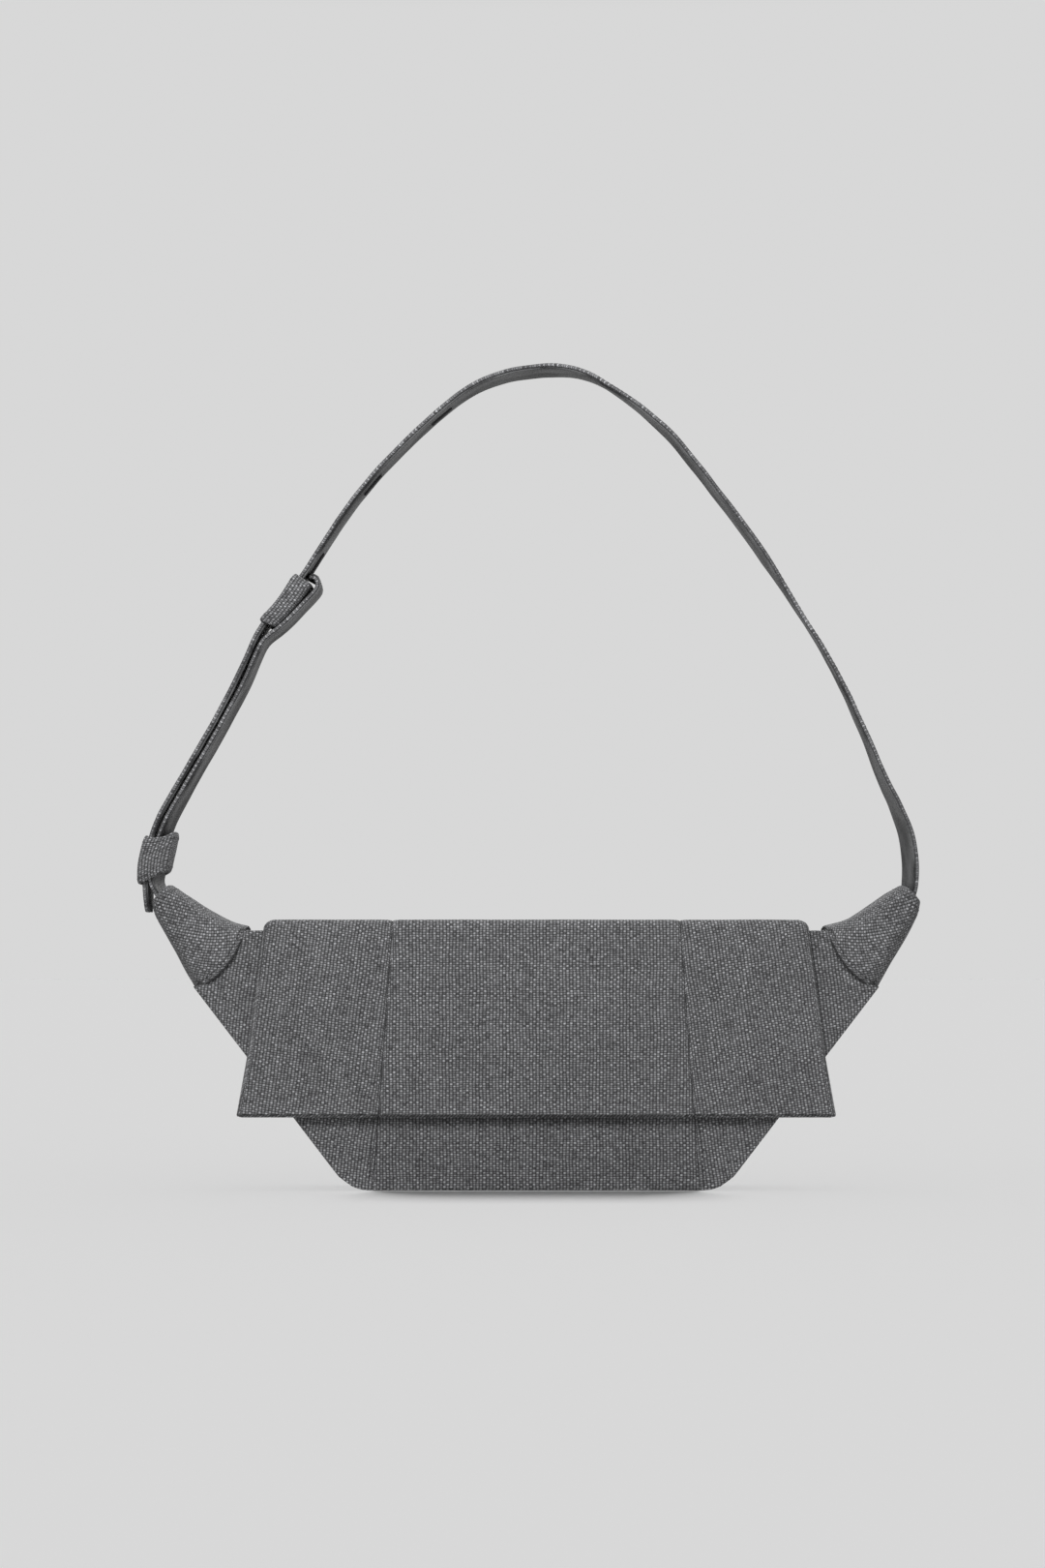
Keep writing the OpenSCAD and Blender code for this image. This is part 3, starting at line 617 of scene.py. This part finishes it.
def flap_piece(tag, part, profile, left, right, columns, grain, sides):
    """One panel of the flap along half of its profile; the two halves meet in the middle of the top."""
    y, z = profile[:, 0], profile[:, 1]
    s = lengths(profile)
    u = np.linspace(0, 1, columns)[None, :]
    x = left(z)[:, None] * (1 - u) + right(z)[:, None] * u
    points = np.stack([x, np.repeat(y[:, None], columns, 1), np.repeat(z[:, None], columns, 1)], -1) * MM
    n = grid_normals(points, points - INSIDE)
    calm = np.clip(np.abs(y) / 20 - 0.1, 0, 1)[:, None, None]
    points = points + (rippled(points, n, 1.0 * MM, 38 * MM, FLAP_SEED, True) - points) * calm * 0.7
    # The cloth is drawn down beside a seam
    gaps = [np.abs(x - side(z)[:, None]) for side, style in zip((left, right), sides) if style == "seam"]
    points = points - n * (0.5 * MM * np.exp(-np.minimum.reduce(gaps) / 2.2) * calm[..., 0])[..., None]
    thick = np.full(len(s), FLAP_T * MM)
    if part == "rear":
        thick = np.interp(z, [137, 147], [1.5, FLAP_T]) * MM
        thick[s > 25] = FLAP_T * MM
    length = np.repeat((s if part == "main" else s - s[-1])[:, None], columns, 1)
    uv = spun(x, -length, grain) * MM
    ends = ("round", "cut") if part == "rear" else ("cut", "round")
    return cloth(f"flap_{part}_{tag}", points, uv, thick, (*ends, *sides), CANVAS, points - INSIDE)


def flap_rides(piece, part, slot, *nodes):
    if part == "rear":
        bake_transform(piece)
    elif slot == "lining":  # baked in place like the canvas; at the fold it would press on the mouth's tape
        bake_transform(piece)
    else:
        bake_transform(piece)
    if nodes:
        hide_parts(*nodes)


def minus(f):
    return lambda z: -f(z)


rear_profile, main_profile = smooth_path(REAR, FLAP_STEP * 0.5), smooth_path(MAIN, FLAP_STEP * 0.6)
FLAP_GRAIN = {"left": -8, "center": 0, "right": 9}
panels = (("left", minus(flap_half), minus(flap_seam_x), 26, ("round", "seam")),
          ("center", minus(flap_seam_x), flap_seam_x, 60, ("seam", "seam")),
          ("right", flap_seam_x, flap_half, 26, ("seam", "round")))
for part, profile in (("rear", rear_profile), ("main", main_profile)):
    for tag, left, right, columns, sides in panels:
        piece = flap_piece(tag, part, profile, left, right, columns, FLAP_GRAIN[tag], sides)
        nodes = ["flap_top_" + tag] if part == "rear" else ["flap_front_" + tag]
        if tag == "center":
            nodes += ["flap_back_hem"] if part == "rear" else ["flap_fold_edge"]
        flap_rides(piece, part, "canvas", *nodes)
        s = lengths(profile) * MM
        wide = np.abs(right(profile[:, 1]) - left(profile[:, 1])) * MM

# Lining on the inner face, inside a border of turned cloth, and the threads along the two seams, with a dark
# cord in each seam that is partly a painted shadow line
LINING_BORDER = 7.0
for part, profile in (("rear", rear_profile), ("main", main_profile)):
    inward = np.gradient(profile, axis=0)
    inward = unit(np.stack([-inward[:, 1], inward[:, 0]], 1))
    under = profile + inward * (FLAP_T - 0.25)
    keep = profile[:, 1] > 153.5 if part == "rear" else profile[:, 1] > HEM_Z + LINING_BORDER
    keep &= np.abs(np.abs(profile[:, 0]) - 31.5) > 4.0 if part == "rear" else True
    under, source = under[keep], profile[keep]
    columns = 60
    u = np.linspace(-1, 1, columns)[None, :]
    x = (flap_half(source[:, 1]) - LINING_BORDER)[:, None] * u
    points = np.stack([x, np.repeat(under[:, :1], columns, 1), np.repeat(under[:, 1:], columns, 1)], -1) * MM
    s = lengths(source)
    uv = np.stack([x, np.repeat(s[:, None], columns, 1)], -1) * MM
    ends = ("round", "cut") if part == "rear" else ("cut", "round")
    facing = INSIDE - points
    facing[..., 0] = 0
    piece = cloth("flap_lining_" + part, points, uv, 0.5 * MM, (*ends, "round", "round"), LINING, -facing)
    if part == "main":
        flap_rides(piece, part, "lining", "flap_front_lining")
    else:
        flap_rides(piece, part, "lining", "flap_top_lining")
    for sign, tag in ((-1, "left"), (1, "right")):
        x = sign * (flap_seam_x(profile[:, 1]) + STITCH_ASIDE)
        path = np.stack([x, profile[:, 0], profile[:, 1]], 1) * MM
        normals = np.stack([np.zeros(len(x)), -inward[:, 0], -inward[:, 1]], 1)
        normals = normals * np.sign((normals * (path - INSIDE)).sum(1).mean())
        path = path - normals * 0.35 * MM
        row = stitches(f"flap_stitching_{part}_{tag}", path[2:-1] if part == "rear" else path[1:-2],
                       normals[2:-1] if part == "rear" else normals[1:-2], THREAD)
        flap_rides(row, part, "binding")
        # The seam's dark cord: partly thread, partly a painted shadow line in the groove
        path[:, 0] = sign * flap_seam_x(profile[:, 1]) * MM
        line = cord(f"flap_seam_{part}_{tag}", path - normals * CORD_DEPTH * MM, normals, SEAM_CORD, THREAD)
        flap_rides(line, part, "binding")


# ---------- wings ----------
WING_UPPER = [(170.4, 154.8), (180.3, 157.6), (190.5, 162.6), (200.5, 168.6), (209.5, 174.8), (216.5, 179.2)]
WING_LOWER = [(200.2, 117.0), (207.4, 129.1), (213.9, 140.8), (219.8, 151.4), (224.5, 160.9), (226.6, 168.8)]
WING_DEPTH = [(0.0, 32.4), (0.06, 32.0), (0.15, 31.2), (0.35, 28.6), (0.6, 25.8), (0.85, 23.8), (1.0, 23.4)]
WING_WALL = 1.5
WING_GRAIN, WING_LENGTH = -21, 52.0
# Columns of the wing's grid that lie on its two faces, clear of the edges
WING_FACES = {"front": slice(11, 50), "back": slice(71, 110)}


def superellipse(count, power):
    """(across from -1 to 1, depth from -1 to 1) round a rounded box, starting at across = -1."""
    a = np.linspace(0, 2 * math.pi, count, endpoint=False)
    c, s = -np.cos(a), -np.sin(a)
    return np.stack([np.sign(c) * np.abs(c) ** (2 / power), np.sign(s) * np.abs(s) ** (2 / power)], 1)


def wing(tag, sign, seed):
    upper, lower = smooth_path(WING_UPPER, 1.6), smooth_path(WING_LOWER, 1.6)
    rows, columns = 44, 120
    t = np.linspace(0, 1, rows)
    upper = np.stack([np.interp(t, np.linspace(0, 1, len(upper)), upper[:, k]) for k in (0, 1)], 1)
    lower = np.stack([np.interp(t, np.linspace(0, 1, len(lower)), lower[:, k]) for k in (0, 1)], 1)
    half = np.interp(t, *zip(*WING_DEPTH))
    points, uv = np.zeros((rows, columns, 3)), np.zeros((rows, columns, 2))
    for r in range(rows):
        ring = superellipse(columns, 3.6 - 0.3 * t[r])
        f = (ring[:, :1] + 1) / 2
        chord = lower[r] - upper[r]
        inwards = unit(np.array([-abs(chord[1]), -abs(chord[0])]))
        bow = 6.0 * (1 - t[r]) ** 1.4 * 4 * f * (1 - f)
        xz = upper[r] + chord * f + inwards * bow
        points[r] = np.stack([sign * xz[:, 0], half[r] * ring[:, 1], xz[:, 1]], 1)
        around = lengths(points[r])
        uv[r] = spun(around, np.full(columns, t[r] * WING_LENGTH), WING_GRAIN)
    n = grid_normals(points, ring=True)
    calm = np.clip(np.minimum(t * 5, (1 - t) * 6), 0, 1)[:, None, None]
    folds = np.array([noise.noise(Vector((c * 0.16 * math.cos(0.3), r * 0.035, seed))) for r in range(rows)
                      for c in range(columns)]).reshape(rows, columns, 1)
    points = points + n * calm * folds * 1.1
    points = rippled(points * MM, n, 0.5 * MM, 16 * MM, seed)
    piece = cloth("wing_cloth_" + tag, points, uv * MM, WING_WALL * MM, ("round", "round"), CANVAS, ring=True)
    on_bag(piece, "canvas", "wing_" + tag)
    # Threads round the mouth's turned rim, and on both faces the seam's dark line, partly thread and partly a
    # painted shadow line, with a row beside it
    row = stitches("wing_stitching_rim_" + tag, np.vstack([points[-5], points[-5][:1]]),
                   np.vstack([n[-5], n[-5][:1]]), THREAD, 2.9 * MM, 2.1 * MM, 0.45 * MM)
    on_bag(row, "binding")
    start = points[0] - unit(points[1] - points[0]) * 0.3 * MM - n[0] * 0.45 * MM
    for face, part in WING_FACES.items():
        on_bag(cord(f"wing_seam_{face}_{tag}", start[part], n[0, part], 0.45 * MM, THREAD), "binding")
        on_bag(stitches(f"wing_stitching_{face}_{tag}", points[2, part], n[2, part], THREAD), "binding")


wing("left", -1, 4.0)
wing("right", 1, 9.0)


# ---------- strap ----------
STRAP_HALF, STRAP_T, FACE_T = 18.0, 3.2, 1.0
FACE_HALF, STRAP_STITCH_Y = 17.4, 15.4
SWING_Z, BEND_X = 180.0, -136.0


def bend(radius):
    return [(BEND_X - radius * math.cos(math.radians(a)), SWING_Z + radius * math.sin(math.radians(a)))
            for a in np.linspace(0, 28, 7)]


LONG = [(-229.3, 163), *bend(94), (-204, 250), (-190.5, 273), (-176.3, 300), (-163.2, 328), (-150.6, 344.8),
        (-136.2, 363), (-122, 385), (-102, 413), (-75, 442), (-43, 469.5), (-18, 480.5), (9, 484), (30, 481),
        (49, 470.5), (65, 458.5), (82.5, 442), (104.5, 414.5), (130.5, 380), (152.5, 346.3), (173.5, 312.3),
        (190.5, 278), (205, 243), (213, 226),
        (219, 210), (221.5, 195), (221.5, 180), (219.5, 170), (217, 162)]
SHORT = [(-217, 162), (-219.5, 170), *bend(88.8), (-199.4, 248.6), (-186, 271.6), (-172.8, 296),
         (-165.6, 312.5), (-160.2, 322.8), (-152.1, 329.6), (-145.8, 335.3), (-138.4, 342.9),
         (-131.8, 349.7), (-128.4, 354.6), (-129.6, 359.4), (-135.0, 361.6)]
SLITS = [(-56.9, 458.5), (-98.1, 418.4), (-131.4, 370.1), (-150.2, 345.3)]
SLIT_HALF, SLIT_W = 6.5, 0.9
WHIP_OUT = 1.5  # the buttonhole thread's distance from the slit's line
# Turn of the strap about its own line, in degrees: (height, turn) of the short one, (X, turn) of the long one
SHORT_TURN = [(162, -3.0), (176, -5.0), (186, -6.5), (215, -3.0), (250, -1.0), (300, 0.0), (320, 0.5),
              (360, 1.0)]
LONG_TURN = [(-230, 0.0), (-60, 1.0), (10, 0.0), (42, 6.5), (62, 4.0), (76, 2.0), (90, 1.2), (136, 1.0),
             (147, 4.0), (160, 6.0), (195, 2.5), (212, -2.0), (222, -6.0)]


def strap(tag, route, turn, slits, tail_round):
    centre = smooth_path(route, 2.0)
    along = unit(np.gradient(centre, axis=0))
    normal = np.stack([-along[:, 1], along[:, 0]], 1)
    tau = np.radians(turn(centre))
    y = np.array([-STRAP_HALF, -16.6, -13, -9, -5, -2.4, -SLIT_W, SLIT_W, 2.4, 5, 9, 13, 16.6, STRAP_HALF])
    n3 = np.stack([normal[:, 0], np.zeros(len(normal)), normal[:, 1]], 1)
    wide = np.cos(tau)[:, None] * [[0, 1, 0]] + np.sin(tau)[:, None] * n3
    up = np.cos(tau)[:, None] * n3 - np.sin(tau)[:, None] * [[0, 1, 0]]
    middle = np.stack([centre[:, 0], np.zeros(len(centre)), centre[:, 1]], 1)
    s = lengths(centre)
    waver = np.array([noise.noise(Vector((k / 14, 3.3, len(route)))) for k in s])

    def surface(ys, height):
        narrow = np.ones(len(s))
        if tail_round:
            to_end = np.clip((s[-1] - s) / 9, 0, 1)
            narrow = np.sqrt(np.clip(1 - (1 - to_end) ** 2, 0.16, 1))
        # Below the swing axis the end is rounded, so that it turns inside the wing's mouth
        low = np.clip((SWING_Z - centre[:, 1]) / STRAP_HALF, 0, 0.97)
        narrow = np.minimum(narrow, np.where(centre[:, 0] ** 2 > 150**2, np.sqrt(1 - low**2), 1))
        return (middle[:, None] + wide[:, None] * ys[None, :, None] * narrow[:, None, None]
                + up[:, None] * height + n3[:, None] * (0.25 * waver)[:, None, None]) * MM

    def cells(ys):
        found = []
        c = int(np.argmin(np.abs(ys + SLIT_W)))
        for slit in slits:
            at = s[np.argmin(((centre - slit) ** 2).sum(1))]
            found += [(r, c) for r in range(len(s) - 1) if abs((s[r] + s[r + 1]) / 2 - at) < SLIT_HALF]
        return found

    facing = np.broadcast_to(up[:, None], (len(s), len(y), 3))
    uv = np.stack(np.broadcast_arrays(y[None, :], s[:, None]), -1) * MM
    outer = cloth(f"strap_{tag}_cloth", surface(y, STRAP_T / 2), uv, (STRAP_T - FACE_T) * MM, ("round",) * 4,
                  CANVAS, facing, holes=cells(y))
    inner_y = np.clip(y, -FACE_HALF, FACE_HALF)
    facing = np.broadcast_to(-up[:, None], (len(s), len(y), 3))
    uv = np.stack(np.broadcast_arrays(inner_y[None, :], s[:, None]), -1) * MM
    inner = cloth(f"strap_{tag}_face", surface(inner_y, -STRAP_T / 2), uv, FACE_T * MM, ("round",) * 4, INNER,
                  facing, holes=cells(y))
    made = ((outer, "canvas", f"strap_{tag}_outer"), (inner, "strap_inner", f"strap_{tag}_lining"))
    for piece, slot, node in made:
        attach(piece, "strap")
        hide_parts(node)
    for sign, edge in ((-1, "front"), (1, "back")):
        line = surface(np.array([sign * STRAP_STITCH_Y]), STRAP_T / 2 - 0.05)[:, 0]
        row = stitches(f"strap_{tag}_stitching_{edge}", line[4:-4], up[4:-4], THREAD, 3.2 * MM, 2.2 * MM,
                       0.4 * MM)
        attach(row, "strap")
    # Buttonhole thread round each slit, on both faces
    for k, slit in enumerate(slits):
        i = int(np.argmin(((centre - slit) ** 2).sum(1)))
        for face, height in (("inside", -STRAP_T / 2 - 0.3), ("outside", STRAP_T / 2)):
            ring = []
            for a in np.linspace(0, 2 * math.pi, 40, endpoint=False):
                straight = (SLIT_HALF - 0.9) * min(1, abs(math.cos(a)) * 4)
                at = s[i] + (math.cos(a) * WHIP_OUT + math.copysign(straight, math.cos(a)))
                base = np.array([np.interp(at, s, middle[:, m]) for m in range(3)])
                up_at = unit(np.array([np.interp(at, s, up[:, m]) for m in range(3)]))
                wide_at = unit(np.array([np.interp(at, s, wide[:, m]) for m in range(3)]))
                ring.append(base + wide_at * math.sin(a) * WHIP_OUT + up_at * height)
            path = np.array(ring) * MM
            whip = cord(f"buttonhole_{tag}_{k}_{face}", path, path - path.mean(0), 0.85 * MM, THREAD, True)
            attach(whip, "strap")


def long_turn(centre):
    return np.interp(centre[:, 0], *zip(*LONG_TURN))


def short_turn(centre):
    return np.interp(centre[:, 1], *zip(*SHORT_TURN))


strap("long", LONG, long_turn, SLITS, False)
strap("short", SHORT, short_turn, [], True)


# ---------- keepers ----------
KEEPER_HALF, KEEPER_WALL = 20.6, 1.5


def keeper(name, body, corners, lap, bulges, dip, node, seed):
    """A flat sleeve of cloth round the strap, with its corners low and high outside, high and low inside."""
    low_out, high_out, high_in, low_in = (np.array(q, float) for q in corners)
    rows, columns = 24, 120
    ring = superellipse(columns, 6.0)
    points, uv = np.zeros((rows, columns, 3)), np.zeros((rows, columns, 2))
    for r, t in enumerate(np.linspace(0, 1, rows)):
        out, inside = low_out + (high_out - low_out) * t, low_in + (high_in - low_in) * t
        f = (ring[:, :1] + 1) / 2
        across = unit(inside - out)
        swell = math.sin(math.pi * t**0.8)
        out, inside = out - across * bulges[0] * swell, inside + across * bulges[1] * swell
        pinch = 1.2 * abs(2 * t - 1) ** 12
        out, inside = out + across * pinch, inside - across * pinch
        up = unit(high_out - low_out)
        xz = out + (inside - out) * f - up * dip * t**3 * 4 * f * (1 - f)
        points[r] = np.stack([xz[:, 0], KEEPER_HALF * ring[:, 1], xz[:, 1]], 1)
        around = lengths(points[r])
        uv[r] = np.stack([around, np.full(columns, t * np.linalg.norm(high_out - low_out))], 1)
    n = grid_normals(points, ring=True)
    if lap:  # the sleeve's end is lapped over its start, on the front near the inner edge
        over = (ring[:, 0] > lap) & (ring[:, 1] < 0)
        points = points + n * over[None, :, None] * 1.1
    points = rippled(points * MM, n, 0.45 * MM, 9 * MM, seed, True)
    piece = cloth(name, points, uv * MM, KEEPER_WALL * MM, ("round", "round"), CANVAS, ring=True)
    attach(piece, body)
    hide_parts(node)
    for r, end in ((3, "low"), (-4, "high")):
        path = np.vstack([points[r], points[r][:1]])
        ups = np.vstack([n[r], n[r][:1]])
        row = stitches(f"{name}_stitching_{end}", path, ups, THREAD, 3.0 * MM, 2.0 * MM, 0.35 * MM)
        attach(row, body)


keeper("keeper_high", "strap", [(-163.9, 335.4), (-142.2, 362.8), (-131.2, 355.4), (-153.5, 330.2)], 0,
       (-1.6, 0.8), 0.5, "upper_keeper", 2.0)
keeper("keeper_low", "sliding_keeper", [(-234.4, 178.6), (-230.7, 208.2), (-212.4, 210), (-217.3, 187.4)],
       0.66, (1.8, 0), 2.4, "lower_keeper", 6.0)

# Webbing that anchors the strap's ends inside the wings
for sign, tag in ((-1, "left"), (1, "right")):
    route = smooth_path([(sign * 216.4, 160.2), (sign * 212, 150), (sign * 205.5, 136.5)], 1.5)
    on_bag(band("anchor_cloth_" + tag, route, 15.0, 2.6, ("round",) * 4, BINDING, 11, facing=(sign, 0, 0.3)),
           "lining", "strap_anchor_" + tag)

# ---------- CAD nodes that stay, with their finish ----------
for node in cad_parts.values():
    if not node.hide_render:
        node.data.materials.clear()
        node.data.materials.append(METAL if "magnet" in node.name or "stud" in node.name else BOARD)

# ---------- stage, light and camera ----------
FLOOR_TONE = 0.93
floor_mat = bpy.data.materials.new("floor")
floor_mat.use_nodes = True
floor_shader = floor_mat.node_tree.nodes["Principled BSDF"]
floor_shader.inputs["Base Color"].default_value = (FLOOR_TONE, FLOOR_TONE, FLOOR_TONE, 1)
floor_shader.inputs["Roughness"].default_value = 1.0
floor_shader.inputs["Specular IOR Level"].default_value = 0.0
FLOOR_Z = -0.0003
bpy.ops.mesh.primitive_plane_add(size=80, location=(0, 0, FLOOR_Z))
floor = bpy.context.object
floor.name = "floor"
floor.data.materials.append(floor_mat)
floor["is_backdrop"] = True

scene = bpy.context.scene
scene.view_settings.view_transform = "Standard"
world = bpy.data.worlds.new("studio")
world.use_nodes = True
scene.world = world
tree = world.node_tree
direction = tree.nodes.new("ShaderNodeTexCoord").outputs["Generated"]
split = tree.nodes.new("ShaderNodeSeparateXYZ")
tree.links.new(direction, split.inputs[0])
sky = tree.nodes.new("ShaderNodeMapRange")
tree.links.new(split.outputs[2], sky.inputs["Value"])
BACKDROP, ZENITH = 0.686, 0.18
sky.inputs["From Min"].default_value = 0.25
sky.inputs["From Max"].default_value = 0.4
sky.inputs["To Min"].default_value = BACKDROP
sky.inputs["To Max"].default_value = ZENITH
tree.links.new(sky.outputs[0], tree.nodes["Background"].inputs["Color"])

subjects = bpy.data.collections.new("subjects")
scene.collection.children.link(subjects)
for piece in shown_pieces():
    subjects.objects.link(piece)


def softbox(name, place, size, watts):
    """An area light on the bag only, aimed at it."""
    lamp = bpy.data.lights.new(name, "AREA")
    lamp.shape = "RECTANGLE"
    lamp.size, lamp.size_y = size
    lamp.energy = watts
    obj = bpy.data.objects.new(name, lamp)
    obj.location = place
    obj.rotation_euler = (Vector(INSIDE) - Vector(place)).to_track_quat("-Z", "Y").to_euler()
    scene.collection.objects.link(obj)
    obj.light_linking.receiver_collection = subjects


softbox("key", (-0.13, -0.95, 0.93), (0.65, 0.5), 15.2)
softbox("back", (0.3, 1.2, 0.9), (1.0, 0.6), 9.0)
softbox("top", (0, 0.3, 1.6), (1.0, 0.8), 9.0)

# A wide soft light from above and behind throws the short shadow in front of the base
base_pieces = bpy.data.collections.new("base_pieces")
ground = bpy.data.collections.new("ground")
for made in (base_pieces, ground):
    scene.collection.children.link(made)
base_pieces.objects.link(front_center)
ground.objects.link(floor)
sun_lamp = bpy.data.lights.new("sun", "SUN")
sun_lamp.angle = math.radians(32)
sun_lamp.energy = 1.74
sun = bpy.data.objects.new("sun", sun_lamp)
sun.rotation_euler = (math.radians(-24), 0, 0)
scene.collection.objects.link(sun)
sun.light_linking.receiver_collection = ground
sun.light_linking.blocker_collection = base_pieces

camera = bpy.data.cameras.new("camera")
camera.sensor_width = 36
camera.lens = 85.25
camera.shift_y = 0.1173
camera_object = bpy.data.objects.new("camera", camera)
camera_object.location = (-0.00803, -2.2, 0.1301)
camera_object.rotation_euler = (math.pi / 2, 0, 0)
scene.collection.objects.link(camera_object)
scene.camera = camera_object
